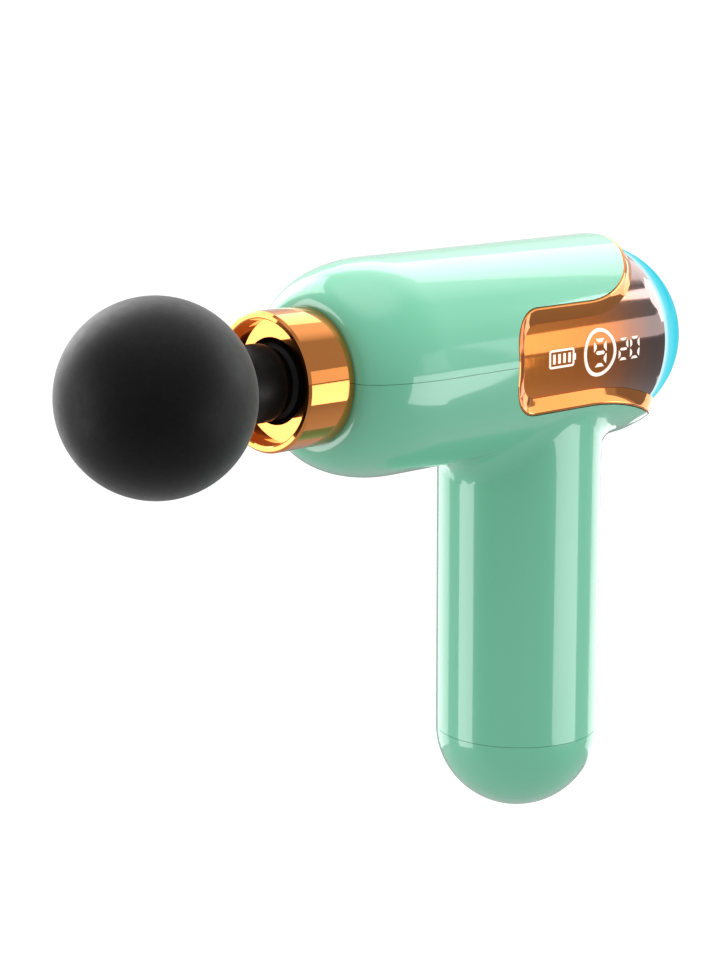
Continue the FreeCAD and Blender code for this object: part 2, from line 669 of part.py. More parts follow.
# ---- rear window, light and boards ----
WINDOW_T = 1.6
WINDOW_TUCK = 1.4
OPENING_PLAY = 0.1
LENS_T = 2.0
LIGHT_BOARD_X = 21.4
LIGHT_BOARD_R, LIGHT_BOARD_INNER_R = 20.3, 12.0
LIGHTS = 12
LIGHT_Y0, LIGHT_Y1 = 16.4, 18.4
LIGHT_HALF_WIDTH = 1.4
LIGHT_T = 1.8
MASK_X = 25.2
MASK_R = 20.9
MASK_T = 1.2
MASK_SLOT_MARGIN = 0.5
DISPLAY_Y = -17.6
DISPLAY_FRONT_Y = -20.0
DISPLAY_X0, DISPLAY_X1 = -17.5, 19.0
DISPLAY_HALF_HEIGHT = 6.2
DISPLAY_BOARD_MARGIN = 1.0
DISPLAY_BOARD_HALF_HEIGHT = 8.0
TOUCH_RING_X, TOUCH_RING_Z = 2.8, 0.15
TOUCH_PAD_R = 5.4
TOUCH_PAD_T = 0.3
MAIN_BOARD_X = 18.6
MAIN_BOARD_T = 1.4
MAIN_BOARD_HALF_WIDTH = 13.5
MAIN_BOARD_Z0, MAIN_BOARD_Z1 = -8.0, 14.0


def window_bezel():
    """The gold band along the edge of the opening."""
    band = capsule(BEZEL_TOP_R).cut(capsule(LENS_R + 0.05))
    band = band.common(window_outline(OPENING_PLAY)).cut(window_outline(BEZEL_WIDTH))
    return band.common(block(-40, FAR, -FAR, FAR, -FAR, FAR)).removeSplitter()


def display_window():
    """The smoked window: a shell that wraps round both sides of the barrel up to the lit dome."""
    skin = capsule(LENS_R).cut(capsule(LENS_R - WINDOW_T))
    skin = skin.common(window_outline(-WINDOW_TUCK))
    return skin.common(block(-40, LENS_SPLIT_X, -FAR, FAR, -FAR, FAR)).removeSplitter()


def rear_light_lens():
    """The clear dome at the rear."""
    centre = V(DOME_X, 0, 0)
    cap = Part.makeSphere(LENS_R, centre).cut(Part.makeSphere(LENS_R - LENS_T, centre))
    return cap.common(block(LENS_SPLIT_X + 0.05, FAR, -FAR, FAR, -FAR, FAR))


def rear_mask():
    """The dark plate behind the lens, with a slot in front of each light."""
    plate = cylinder(MASK_R, V(MASK_X, 0, 0), MASK_T, X)
    y0, y1 = LIGHT_Y0 - MASK_SLOT_MARGIN, LIGHT_Y1 + MASK_SLOT_MARGIN
    half_z = LIGHT_HALF_WIDTH + MASK_SLOT_MARGIN
    slot = block(MASK_X - 1.0, MASK_X + MASK_T + 1.0, y0, y1, -half_z, half_z)
    for hole in around(slot, LIGHTS, X):
        plate = plate.cut(hole)
    return plate


def rear_light_board():
    return x_tube(LIGHT_BOARD_R, LIGHT_BOARD_INNER_R, LIGHT_BOARD_X, LIGHT_BOARD_X + BOARD_T)


def rear_lights():
    front = LIGHT_BOARD_X + BOARD_T
    lamp = block(front, front + LIGHT_T, LIGHT_Y0, LIGHT_Y1, -LIGHT_HALF_WIDTH, LIGHT_HALF_WIDTH)
    return Part.makeCompound(around(lamp, LIGHTS, X))


def display_board():
    x0, x1 = DISPLAY_X0 - DISPLAY_BOARD_MARGIN, DISPLAY_X1 - DISPLAY_BOARD_MARGIN
    half_z = DISPLAY_BOARD_HALF_HEIGHT
    return block(x0, x1, DISPLAY_Y, DISPLAY_Y + BOARD_T, -half_z, half_z)


def display_module():
    """The lit block of digits, ring and battery sign behind the window."""
    half_z = DISPLAY_HALF_HEIGHT
    frame = block(DISPLAY_X0, DISPLAY_X1, DISPLAY_FRONT_Y, DISPLAY_Y, -half_z, half_z)
    return frame.common(cylinder(LENS_R - WINDOW_T - FIT_GAP, V(-FAR, 0, 0), 2 * FAR, X))


def touch_pad():
    """The copper touch pad under the display's ring, on the board's back."""
    return cylinder(TOUCH_PAD_R, V(TOUCH_RING_X, DISPLAY_Y + BOARD_T, TOUCH_RING_Z), TOUCH_PAD_T, Y)


def main_board():
    x1, half_y = MAIN_BOARD_X + MAIN_BOARD_T, MAIN_BOARD_HALF_WIDTH
    return block(MAIN_BOARD_X, x1, -half_y, half_y, MAIN_BOARD_Z0, MAIN_BOARD_Z1)


def board_parts():
    """Controller, three power switches, two capacitors and the plug housing on the main board."""
    front = MAIN_BOARD_X
    controller = block(front - 1.0, front, -3.5, 3.5, 4.0, 11.0)
    switches = [block(front - 1.6, front, y - 1.6, y + 1.6, -1.5, 2.5) for y in (-9.0, -4.5, 9.0)]
    capacitors = [cylinder(2.4, V(front - 6.0, y, 8.5), 6.0, X) for y in (-9.0, 9.0)]
    plug = block(front - 5.2, front, -3.4, 3.4, -6.0, -2.6)
    return Part.makeCompound([controller, plug] + switches + capacitors)


# ---- battery and charging ----
CELL_R = 7.0
CELL_TOP_Z, CELL_BOTTOM_Z = -36.4, -86.0
CELL_CIRCLE_R = 8.15
BATTERY_SLEEVE_R, BATTERY_SLEEVE_T = 15.6, 0.4
HOLDER_T = 2.0
HOLDER_GAP = 0.25
HOLDER_HOLE_R = 3.6
STRIP_R, STRIP_T = 3.4, 0.2
STRIP_HALF_WIDTH = 2.0
BATTERY_BOARD_Z = -92.0
BATTERY_BOARD_R = 15.6
LEAD_CHANNEL_X = 15.0
LEAD_CHANNEL_HALF_Y = 4.0
BATTERY_LEAD_X = 16.75
BATTERY_LEAD_R = 0.75
BATTERY_LEAD_TOP_Z = -6.0


def battery_cells():
    cell = cylinder(CELL_R, V(CELL_CIRCLE_R, 0, CELL_BOTTOM_Z), CELL_TOP_Z - CELL_BOTTOM_Z)
    return Part.makeCompound(around(cell, 3, Z, 60))


def battery_sleeve():
    inner_r = BATTERY_SLEEVE_R - BATTERY_SLEEVE_T
    return z_tube(BATTERY_SLEEVE_R, inner_r, CELL_BOTTOM_Z + 0.4, CELL_TOP_Z - 0.4)


def holder_ring(z0):
    """A disc across the grip with a hole at each cell's end and a notch for the battery leads."""
    disc = cylinder(HANDLE_INNER_R - 0.3, V(0, 0, z0), HOLDER_T)
    for hole in around(cylinder(HOLDER_HOLE_R, V(CELL_CIRCLE_R, 0, z0), HOLDER_T), 3, Z, 60):
        disc = disc.cut(hole)
    half_y = LEAD_CHANNEL_HALF_Y
    return disc.cut(block(LEAD_CHANNEL_X, FAR, -half_y, half_y, z0, z0 + HOLDER_T))


def battery_holder_top():
    return holder_ring(CELL_TOP_Z + HOLDER_GAP)


def battery_holder_bottom():
    return holder_ring(CELL_BOTTOM_Z - HOLDER_GAP - HOLDER_T)


def nickel_strips():
    """The welded strips at the cells' ends, one above and one below."""
    pad = cylinder(STRIP_R, V(CELL_CIRCLE_R, 0, 0), STRIP_T)
    arm = block(-3.0, CELL_CIRCLE_R, -STRIP_HALF_WIDTH, STRIP_HALF_WIDTH, 0, STRIP_T)
    strip = fuse([pad, arm])
    top = shifted(turned(strip, 60), z=CELL_TOP_Z)
    bottom = shifted(turned(strip, 180), z=CELL_BOTTOM_Z - STRIP_T)
    return Part.makeCompound([top, bottom])


def battery_board():
    """The protection board, cut straight on the side where the leads pass."""
    board = cylinder(BATTERY_BOARD_R, V(0, 0, BATTERY_BOARD_Z), BOARD_T)
    return board.cut(block(LEAD_CHANNEL_X - 1.0, FAR, -FAR, FAR, -FAR * 2, 0))


def battery_board_parts():
    top = BATTERY_BOARD_Z + BOARD_T
    chips = [block(-6, -1, -3, 3, top, top + 1.2)]
    chips += [block(3, 6, y - 1.5, y + 1.5, top, top + 1.0) for y in (-4, 4)]
    return Part.makeCompound(chips)


def battery_leads():
    """Two insulated leads from the protection board up past the cells and the motor to the main board."""
    foot_z = BATTERY_BOARD_Z + BOARD_T
    leads = []
    for y in (-1.3, 1.3):
        leads.append(cylinder(BATTERY_LEAD_R, V(BATTERY_LEAD_X, y, foot_z), BATTERY_LEAD_TOP_Z - foot_z))
    return Part.makeCompound(leads)


def charging_socket():
    """The charging socket's steel shell, open downwards."""
    shell = stadium(SOCKET_WIDTH, SOCKET_DEPTH, SOCKET_MOUTH_Z, SOCKET_TOP_Z)
    width, depth = SOCKET_WIDTH - 2 * SOCKET_WALL, SOCKET_DEPTH - 2 * SOCKET_WALL
    return shell.cut(stadium(width, depth, SOCKET_MOUTH_Z - 1, SOCKET_TOP_Z - 1.0))


def socket_tongue():
    """The contact tongue in the socket."""
    return block(-0.35, 0.35, -3.2, 3.2, SOCKET_MOUTH_Z + 0.9, SOCKET_TOP_Z - 1.0)


def charging_board():
    return cylinder(CHARGE_BOARD_R, V(0, 0, SOCKET_TOP_Z), BOARD_T)


# ---- massage head ----
O_RING_XS = [PISTON_FRONT_X + 3.0, PISTON_FRONT_X + 6.0]
O_RING_T = 0.9
O_RING_R = 4.65
O_RING_GROOVE_PLAY = 0.05
O_RING_GROOVE_R = 3.75
PIN_CHAMFER = 1.0
NECK_CORNER_R = 3.2
NECK_CORNER_STEPS = 6
STEM_GAP = 0.1
CORE_NECK_X, CORE_NECK_R = BALL_X + 8.0, 6.0
CORE_X0, CORE_X1, CORE_R = BALL_X - 1.0, BALL_X + 3.0, 12.0


def neck_corner(shoulder_x):
    """The rounded corner of the neck's rear end, as (along, radius) points."""
    points = []
    for i in range(NECK_CORNER_STEPS + 1):
        a = math.pi / 2 * i / NECK_CORNER_STEPS
        along = shoulder_x - NECK_CORNER_R * (1 - math.cos(a))
        points.append((along, NECK_R - NECK_CORNER_R * (1 - math.sin(a))))
    return points


def head_stem():
    """The hard core of the head: grooved pin, rounded neck, and the disc that the ball is moulded round."""
    shoulder_x = PISTON_FRONT_X - STEM_GAP
    tip_x = shoulder_x + PIN_LENGTH
    pin = [(tip_x, 0.0), (tip_x, PIN_R - PIN_CHAMFER), (tip_x - PIN_CHAMFER, PIN_R), (shoulder_x, PIN_R)]
    core = [
        (CORE_NECK_X, NECK_R),
        (CORE_NECK_X, CORE_NECK_R),
        (CORE_X1, CORE_NECK_R),
        (CORE_X1, CORE_R),
        (CORE_X0, CORE_R),
        (CORE_X0, 0.0),
    ]
    stem = revolved(pin + neck_corner(shoulder_x) + core)
    half = O_RING_T + O_RING_GROOVE_PLAY
    for x in O_RING_XS:
        stem = stem.cut(x_tube(PIN_R + 1, O_RING_GROOVE_R, x - half, x + half))
    return stem


def ball_head():
    """The foam ball, moulded round the stem's core."""
    return Part.makeSphere(BALL_R, V(BALL_X, 0, 0)).cut(head_stem())


def stem_o_rings():
    return Part.makeCompound([ring(O_RING_R, O_RING_T, x) for x in O_RING_XS])


NODES = [
    upper_shell, lower_shell, handle_end_cap, front_collar, dust_seal,
    guide_sleeve, drive_frame, piston_tube, drive_yoke, yoke_pin,
    front_damper, damper_washers, frame_screws, motor_screws,
    motor_base, stator_core, stator_coils, rotor_bell, rotor_magnets, motor_shaft,
    bearing_rings_outer, bearing_rings_inner, bearing_balls,
    crank_wheel, eccentric_bearing, bearing_spacer, bearing_screw, motor_leads,
    window_bezel, display_window, rear_light_lens, rear_mask, rear_light_board, rear_lights,
    display_board, display_module, touch_pad, main_board, board_parts,
    battery_cells, battery_sleeve, battery_holder_top, battery_holder_bottom,
    nickel_strips, battery_board, battery_board_parts, battery_leads,
    charging_socket, socket_tongue, charging_board, head_stem, ball_head, stem_o_rings,
]


def export(make):
    shape = shifted(make(), z=HUB_Z)
    if not shape.isValid() or not shape.Solids:
        raise RuntimeError(make.__name__ + " isn't a valid solid")
    shape.exportStep("parts/" + make.__name__ + ".step")
    box = shape.BoundBox
    sizes = "%.1f x %.1f x %.1f" % (box.XLength, box.YLength, box.ZLength)
    print(make.__name__, len(shape.Solids), "solids,", round(shape.Volume), "mm3,", sizes)


if __name__ == "__main__":
    os.makedirs("parts", exist_ok=True)
    for node in NODES:
        export(node)
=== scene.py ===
import json
import math

import bmesh
import bpy
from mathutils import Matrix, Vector


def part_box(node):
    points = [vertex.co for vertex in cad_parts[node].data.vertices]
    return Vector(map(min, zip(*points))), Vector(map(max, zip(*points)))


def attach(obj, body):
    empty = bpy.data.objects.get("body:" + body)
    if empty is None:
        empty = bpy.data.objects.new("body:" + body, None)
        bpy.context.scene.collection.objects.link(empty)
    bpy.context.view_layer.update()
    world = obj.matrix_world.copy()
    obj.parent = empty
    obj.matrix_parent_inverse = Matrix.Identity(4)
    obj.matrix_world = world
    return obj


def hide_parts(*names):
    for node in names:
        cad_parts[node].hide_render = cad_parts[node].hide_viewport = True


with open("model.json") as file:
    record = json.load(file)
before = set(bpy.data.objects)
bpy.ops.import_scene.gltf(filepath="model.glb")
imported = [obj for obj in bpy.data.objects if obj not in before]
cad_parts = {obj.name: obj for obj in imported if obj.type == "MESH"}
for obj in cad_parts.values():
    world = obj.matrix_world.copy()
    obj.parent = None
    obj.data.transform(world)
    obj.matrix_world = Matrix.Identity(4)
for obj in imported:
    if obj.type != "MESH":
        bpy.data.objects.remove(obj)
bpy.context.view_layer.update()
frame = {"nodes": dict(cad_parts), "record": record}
NODES = frame["nodes"]

MM = 0.001

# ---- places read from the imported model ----
COLLAR_LOW, COLLAR_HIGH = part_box("front_collar")
WINDOW_LOW, WINDOW_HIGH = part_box("display_window")
LENS_LOW, LENS_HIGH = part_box("rear_light_lens")
BALL_LOW, BALL_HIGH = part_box("ball_head")
CAP_LOW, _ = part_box("handle_end_cap")

HUB_Z = (COLLAR_LOW.z + COLLAR_HIGH.z) / 2
# The window and the lens share one surface, a capsule of this radius that ends in a dome round DOME_X.
GLASS_R = (WINDOW_HIGH.y - WINDOW_LOW.y) / 2
DOME_X = LENS_HIGH.x - GLASS_R
LENS_SPLIT_X = LENS_LOW.x
BALL_R = (BALL_HIGH.y - BALL_LOW.y) / 2
BALL_X = BALL_LOW.x + BALL_R

# ---- the display opening, as the shells are cut ----
WINDOW_HALF_HEIGHT = 12.6 * MM
WINDOW_LEFT_X = -27.5 * MM
WINDOW_CORNER_R = 9.5 * MM
FLARE_TOP_R = 30.0 * MM
FLARE_TOP_DEG = 39.5
FLARE_BOTTOM_R = 74.0 * MM
FLARE_BOTTOM_DEG = 34.0
FLARE_RUN = 40.0 * MM

# ---- camera ----
CAMERA_AZIMUTH = -43.5
CAMERA_ELEVATION = 11.446
CAMERA_ROLL = -0.16
CAMERA_DISTANCE = 0.54074
CAMERA_TARGET = Vector((-0.05623, 0.0, HUB_Z - 0.02508))
CAMERA_LENS = 89.62
CAMERA_SENSOR = 36.0
CAMERA_CLIP = (0.01, 50.0)


# =====================================================================
# Materials
# =====================================================================
# Nearly all values of a noise lie between these two.
NOISE_LOW, NOISE_HIGH = 0.3, 0.7


class Shader:
    """A material with one Principled shader, and short ways to feed it."""

    def __init__(self, name):
        self.material = bpy.data.materials.new(name)
        self.material.use_nodes = True
        self.tree = self.material.node_tree
        self.nodes = self.tree.nodes
        self.principled = self.nodes["Principled BSDF"]

    def put(self, **values):
        """Sets constants on the shader's own sockets: coat_weight=1 sets Coat Weight."""
        for key, value in values.items():
            words = " ".join(w.upper() if w == "ior" else w.capitalize() for w in key.split("_"))
            self.principled.inputs[words].default_value = value
        return self

    def link(self, output, socket):
        """Feeds one of the shader's own sockets."""
        self.tree.links.new(output, self.principled.inputs[socket])
        return self

    def node(self, kind, **inputs):
        """A new node, with its inputs set or linked: From_Min=0 sets From Min."""
        node = self.nodes.new(kind)
        for key, value in inputs.items():
            socket = node.inputs[key.replace("_", " ")]
            if isinstance(value, bpy.types.NodeSocket):
                self.tree.links.new(value, socket)
            else:
                socket.default_value = value
        return node

    def place(self):
        """Coordinates in metres, in the frame of the piece at rest."""
        return self.node("ShaderNodeTexCoord").outputs["Object"]

    def noise(self, scale, detail=3.0, roughness=0.5, vector=None):
        """Noise over the place, or over another vector."""
        node = self.node("ShaderNodeTexNoise", Scale=scale, Detail=detail, Roughness=roughness)
        self.tree.links.new(vector or self.place(), node.inputs["Vector"])
        return node.outputs["Fac"]

    def along(self, axis):
        """One coordinate of the place."""
        split = self.node("ShaderNodeSeparateXYZ")
        self.tree.links.new(self.place(), split.inputs[0])
        return split.outputs[axis]

    def span(self, value, low, high, to_low=0.0, to_high=1.0):
        """value mapped from low..high to to_low..to_high, held at the ends."""
        node = self.nodes.new("ShaderNodeMapRange")
        self.tree.links.new(value, node.inputs["Value"])
        for key, number in (("From Min", low), ("From Max", high), ("To Min", to_low), ("To Max", to_high)):
            node.inputs[key].default_value = number
        return node.outputs["Result"]

    def ramp(self, value, stops):
        """A colour ramp over value, with (position, (r, g, b)) stops."""
        node = self.nodes.new("ShaderNodeValToRGB")
        elements = node.color_ramp.elements
        while len(elements) < len(stops):
            elements.new(0.5)
        for element, (position, colour) in zip(elements, stops):
            element.position = position
            element.color = (*colour, 1.0)
        self.tree.links.new(value, node.inputs["Fac"])
        return node.outputs["Color"]

    def blend(self, noise, dark, light):
        """A colour that follows a noise from dark to light."""
        return self.ramp(noise, [(NOISE_LOW, dark), (NOISE_HIGH, light)])

    def drift(self, noise, low, high):
        """A number that follows a noise from low to high."""
        return self.span(noise, NOISE_LOW, NOISE_HIGH, low, high)

    def bump(self, height, strength, distance):
        """Relief of that depth in metres."""
        node = self.node("ShaderNodeBump", Strength=strength, Distance=distance, Height=height)
        return self.link(node.outputs["Normal"], "Normal")

    def tones(self, dark, light, scale, detail=3.0):
        """Base colour that wanders between two close tones."""
        return self.link(self.blend(self.noise(scale, detail), dark, light), "Base Color")

    def rough(self, low, high, scale):
        """Roughness that wanders between two values."""
        return self.link(self.drift(self.noise(scale), low, high), "Roughness")


def mint_shell():
    """High-gloss moulded plastic under a clear coat, with the faint waviness of a moulding."""
    s = Shader("mint_shell")
    s.put(coat_weight=1.0, coat_roughness=0.05, coat_ior=1.58, specular_ior_level=0.4)
    s.tones((0.158, 0.545, 0.353), (0.166, 0.560, 0.364), 12.0, 1.0)
    s.rough(0.30, 0.34, 60.0)
    return s.bump(s.noise(45.0, 0.0), 0.02, 0.2 * MM).material


def copper_gold():
    """Vacuum-plated copper-gold: a mirror, with hairline swirls that only shift its gloss."""
    s = Shader("copper_gold")
    s.put(metallic=1.0)
    s.tones((0.80, 0.285, 0.074), (0.85, 0.315, 0.088), 60.0)
    return s.rough(0.03, 0.06, 900.0).material


def ball_foam():
    """Closed-cell foam with a moulded skin: matte black, finely pebbled."""
    s = Shader("ball_foam")
    s.put(sheen_weight=0.24, sheen_roughness=0.42, specular_ior_level=0.14)
    s.tones((0.0015, 0.0015, 0.0015), (0.003, 0.003, 0.003), 700.0)
    s.rough(0.44, 0.54, 500.0)
    return s.bump(s.noise(2600.0, 2.0), 0.22, 0.12 * MM).material


def black_head():
    """The head's hard black core and neck, with a fine spark-eroded grain."""
    s = Shader("matte_black_head")
    s.put(specular_ior_level=0.2)
    s.tones((0.004, 0.004, 0.004), (0.007, 0.007, 0.007), 500.0)
    s.rough(0.34, 0.44, 400.0)
    return s.bump(s.noise(1800.0, 2.0), 0.12, 0.08 * MM).material


def smoked_window():
    """Tinted mirror window that fades from amber at the front to smoky violet at the rear."""
    s = Shader("smoked_window")
    s.put(metallic=0.92, coat_weight=0.5, coat_roughness=0.02, coat_ior=1.4)
    back = s.span(s.along("X"), WINDOW_LEFT_X, LENS_SPLIT_X)
    wander = s.node("ShaderNodeMath")
    wander.operation = "ADD"
    s.tree.links.new(back, wander.inputs[0])
    s.tree.links.new(s.drift(s.noise(120.0), -0.015, 0.015), wander.inputs[1])
    amber, rust = (0.95, 0.300, 0.044), (0.74, 0.215, 0.038)
    mauve, violet = (0.36, 0.165, 0.100), (0.22, 0.155, 0.148)
    stops = [(0.0, amber), (0.55, rust), (0.77, mauve), (0.92, violet), (1.0, violet)]
    s.link(s.ramp(wander.outputs[0], stops), "Base Color")
    return s.rough(0.05, 0.09, 700.0).material


def light_lens():
    """The lit rear lens: a painted white highlight along its front edge, then cyan, fading to deep teal at
    the tip.
    """
    s = Shader("light_lens")
    s.put(specular_ior_level=0.0, emission_strength=1.0)
    s.put(coat_weight=0.12, coat_roughness=0.03, coat_ior=1.3)
    tip = s.span(s.along("X"), LENS_SPLIT_X, LENS_HIGH.x)
    white, pale, cyan = (0.70, 0.90, 0.95), (0.16, 0.72, 0.82), (0.020, 0.62, 0.74)
    teal, deep = (0.010, 0.30, 0.44), (0.006, 0.12, 0.20)
    # The white stops at the lens's front edge paint a highlight into the glow; the cyan and teal after them
    # are the lamp's own glow.
    stops = [(0.0, white), (0.03, white), (0.10, pale), (0.28, cyan), (0.8, teal), (1.0, deep)]
    s.link(s.ramp(tip, stops), "Emission Color")
    s.tones((0.006, 0.05, 0.07), (0.009, 0.07, 0.09), 90.0)
    return s.rough(0.10, 0.16, 600.0).material


def display_glow():
    """Lit marks: warm white, slightly uneven as lamps behind a film are."""
    s = Shader("display_glow")
    s.put(emission_strength=0.95, roughness=0.5, specular_ior_level=0.2)
    s.link(s.blend(s.noise(160.0), (0.98, 0.88, 0.77), (1.0, 0.93, 0.84)), "Emission Color")
    return s.tones((0.30, 0.26, 0.23), (0.34, 0.30, 0.26), 160.0).material


MOULD_GRAIN = 900.0
MOULD_GRAIN_DEPTH = 0.08 * MM


def moulded(name, dark, light, low, high):
    """Plain moulded plastic or rubber with a fine grain."""
    s = Shader(name)
    s.tones(dark, light, MOULD_GRAIN / 3)
    s.rough(low, high, MOULD_GRAIN / 2)
    return s.bump(s.noise(MOULD_GRAIN, 2.0), 0.15, MOULD_GRAIN_DEPTH).material


def metal(name, dark, light, low, high, stretch, grain):
    """Bare metal with tool marks, drawn out along the axes where stretch is small."""
    s = Shader(name)
    s.put(metallic=1.0)
    mapping = s.node("ShaderNodeMapping", Scale=stretch)
    s.tree.links.new(s.place(), mapping.inputs["Vector"])
    marks = s.noise(grain, 3.0, 0.6, mapping.outputs[0])
    s.link(s.blend(marks, dark, light), "Base Color")
    s.link(s.drift(marks, low, high), "Roughness")
    return s.bump(marks, 0.12, 0.04 * MM).material


def circuit_board():
    """Green solder mask with copper tracks that show as paler lines under it."""
    s = Shader("circuit_board")
    s.put(coat_weight=0.4, coat_roughness=0.15)
    tracks = s.nodes.new("ShaderNodeTexVoronoi")
    tracks.feature = "DISTANCE_TO_EDGE"
    tracks.inputs["Scale"].default_value = 420.0
    s.tree.links.new(s.place(), tracks.inputs["Vector"])
    track, mask = (0.045, 0.22, 0.10), (0.012, 0.10, 0.045)
    s.link(s.ramp(tracks.outputs["Distance"], [(0.02, track), (0.08, mask)]), "Base Color")
    return s.rough(0.3, 0.42, 500.0).material


def soft_finishes():
    """Plastics, rubbers and other moulded things: dark tone, light tone, and their range of roughness."""
    table = {
        "black_rubber": ((0.010, 0.010, 0.010), (0.018, 0.018, 0.018), 0.5, 0.65),
        "black_engineering_plastic": ((0.014, 0.014, 0.015), (0.024, 0.024, 0.026), 0.35, 0.5),
        "black_plastic": ((0.012, 0.012, 0.014), (0.020, 0.020, 0.022), 0.35, 0.5),
        "wire_insulation": ((0.30, 0.012, 0.010), (0.38, 0.020, 0.014), 0.4, 0.5),
        "chip_black": ((0.016, 0.016, 0.017), (0.028, 0.028, 0.030), 0.3, 0.45),
        "cell_jacket": ((0.015, 0.070, 0.22), (0.020, 0.085, 0.26), 0.15, 0.25),
        "o_ring_red": ((0.20, 0.012, 0.008), (0.26, 0.018, 0.010), 0.35, 0.5),
        "led_lens": ((0.70, 0.80, 0.82), (0.80, 0.88, 0.90), 0.1, 0.2),
    }
    return {name: moulded(name, *row) for name, row in table.items()}


def metal_finishes():
    """Bare metals: dark tone, light tone, range of roughness, stretch of the tool marks, grain."""
    even, round_x, along_z = (1.0, 1.0, 1.0), (1.0, 0.15, 0.15), (0.3, 0.3, 3.0)
    table = {
        "bearing_bronze": ((0.34, 0.20, 0.09), (0.42, 0.26, 0.12), 0.3, 0.45, even, 700.0),
        "cast_aluminium": ((0.50, 0.51, 0.52), (0.60, 0.61, 0.62), 0.4, 0.55, even, 1500.0),
        "machined_steel": ((0.48, 0.49, 0.51), (0.60, 0.61, 0.63), 0.16, 0.3, round_x, 700.0),
        "electrical_steel": ((0.20, 0.21, 0.22), (0.34, 0.35, 0.36), 0.3, 0.45, (0.1, 0.1, 3.0), 700.0),
        "copper_wire": ((0.52, 0.20, 0.09), (0.66, 0.28, 0.13), 0.2, 0.35, along_z, 1600.0),
        "magnet_nickel": ((0.56, 0.56, 0.54), (0.66, 0.66, 0.64), 0.12, 0.2, even, 700.0),
    }
    return {name: metal(name, *row) for name, row in table.items()}


FINISHES = {
    "mint_shell": mint_shell(),
    "copper_gold": copper_gold(),
    "ball_foam": ball_foam(),
    "matte_black_head": black_head(),
    "smoked_window": smoked_window(),
    "light_lens": light_lens(),
    "display_glow": display_glow(),
    "circuit_board": circuit_board(),
    **soft_finishes(),
    **metal_finishes(),
}


def paint_cad_nodes():
    """Every CAD node takes the finish of its material slot."""
    slots = {row["node"]: row["material_slot"] for row in frame["record"]["subparts"]}
    for name, node in NODES.items():
        node.data.materials.clear()
        node.data.materials.append(FINISHES[slots[name]])


# =====================================================================
# Mesh helpers
# =====================================================================
WELD_DISTANCE = 1e-7
TURN_STEPS = 160


def mesh_object(name, vertices, faces, finish, sharp):
    """A welded mesh with outward normals, smooth up to that many degrees between faces."""
    mesh = bpy.data.meshes.new(name)
    mesh.from_pydata([tuple(v) for v in vertices], [], faces)
    mesh.materials.append(FINISHES[finish])
    tidy = bmesh.new()
    tidy.from_mesh(mesh)
    bmesh.ops.remove_doubles(tidy, verts=tidy.verts, dist=WELD_DISTANCE)
    bmesh.ops.recalc_face_normals(tidy, faces=tidy.faces)
    tidy.to_mesh(mesh)
    tidy.free()
    mesh.shade_smooth()
    mesh.set_sharp_from_angle(angle=math.radians(sharp))
    piece = bpy.data.objects.new(name, mesh)
    bpy.context.scene.collection.objects.link(piece)
    return piece


def loft(rings, closed=True):
    """Faces between rings of equal count; closed also joins the last ring to the first."""
    count = len(rings[0])
    vertices = [point for ring in rings for point in ring]
    faces = []
    for i in range(len(rings) if closed else len(rings) - 1):
        a, b = i * count, ((i + 1) % len(rings)) * count
        for j in range(count):
            k = (j + 1) % count
            faces.append((a + j, a + k, b + k, b + j))
    return vertices, faces


def turned_on_barrel(profile):
    """Rings about the barrel's axis from (x, radius) points."""
    rings = []
    for x, radius in profile:
        ring = []
        for i in range(TURN_STEPS):
            a = 2 * math.pi * i / TURN_STEPS
            ring.append(Vector((x, radius * math.cos(a), HUB_Z + radius * math.sin(a))))
        rings.append(ring)
    return rings


def arc(cx, cz, radius, start, end, steps):
    """Points of an arc in the side view, from start to end degrees, measured from +X towards +Z."""
    points = []
    for i in range(steps + 1):
        a = math.radians(start + (end - start) * i / steps)
        points.append((cx + radius * math.cos(a), cz + radius * math.sin(a)))
    return points


# =====================================================================
# The display opening's edge
# =====================================================================
CORNER_STEPS = 24
FLARE_STEPS = 40
EDGE_STEP = 0.25 * MM
EDGE_COUNT = 110


def opening_halves(inset):
    """Side view of the opening's edge, moved in by inset: its upper half and its lower half, both from the
    left end towards the rear."""
    half = WINDOW_HALF_HEIGHT - inset
    corner = WINDOW_CORNER_R - inset
    corner_x, corner_z = WINDOW_LEFT_X + WINDOW_CORNER_R, WINDOW_HALF_HEIGHT - WINDOW_CORNER_R
    top_r, bottom_r = FLARE_TOP_R + inset, FLARE_BOTTOM_R + inset
    upper = [(WINDOW_LEFT_X + inset, 0.0)] + arc(corner_x, corner_z, corner, 180, 90, CORNER_STEPS)
    upper += arc(0.0, half + top_r, top_r, -90, -90 + FLARE_TOP_DEG, FLARE_STEPS)
    lower = [(WINDOW_LEFT_X + inset, 0.0)] + arc(corner_x, -corner_z, corner, 180, 270, CORNER_STEPS)
    lower += arc(0.0, -half - bottom_r, bottom_r, 90, 90 - FLARE_BOTTOM_DEG, FLARE_STEPS)
    for points, slope in ((upper, FLARE_TOP_DEG), (lower, -FLARE_BOTTOM_DEG)):
        x, z = points[-1]
        a = math.radians(slope)
        points.append((x + FLARE_RUN * math.cos(a), z + FLARE_RUN * math.sin(a)))
    return upper, lower


def depth_squared(x, z, radius):
    """Square of the sideways reach of the barrel's capsule of that radius at a point of the side view."""
    return radius ** 2 - z ** 2 - max(0.0, x - DOME_X) ** 2


def walk(points, step):
    """Points along a polyline, step apart."""
    out = [points[0]]
    for (ax, az), (bx, bz) in zip(points, points[1:]):
        pieces = max(1, math.ceil(math.hypot(bx - ax, bz - az) / step))
        out += [(ax + (bx - ax) * i / pieces, az + (bz - az) * i / pieces) for i in range(1, pieces + 1)]
    return out


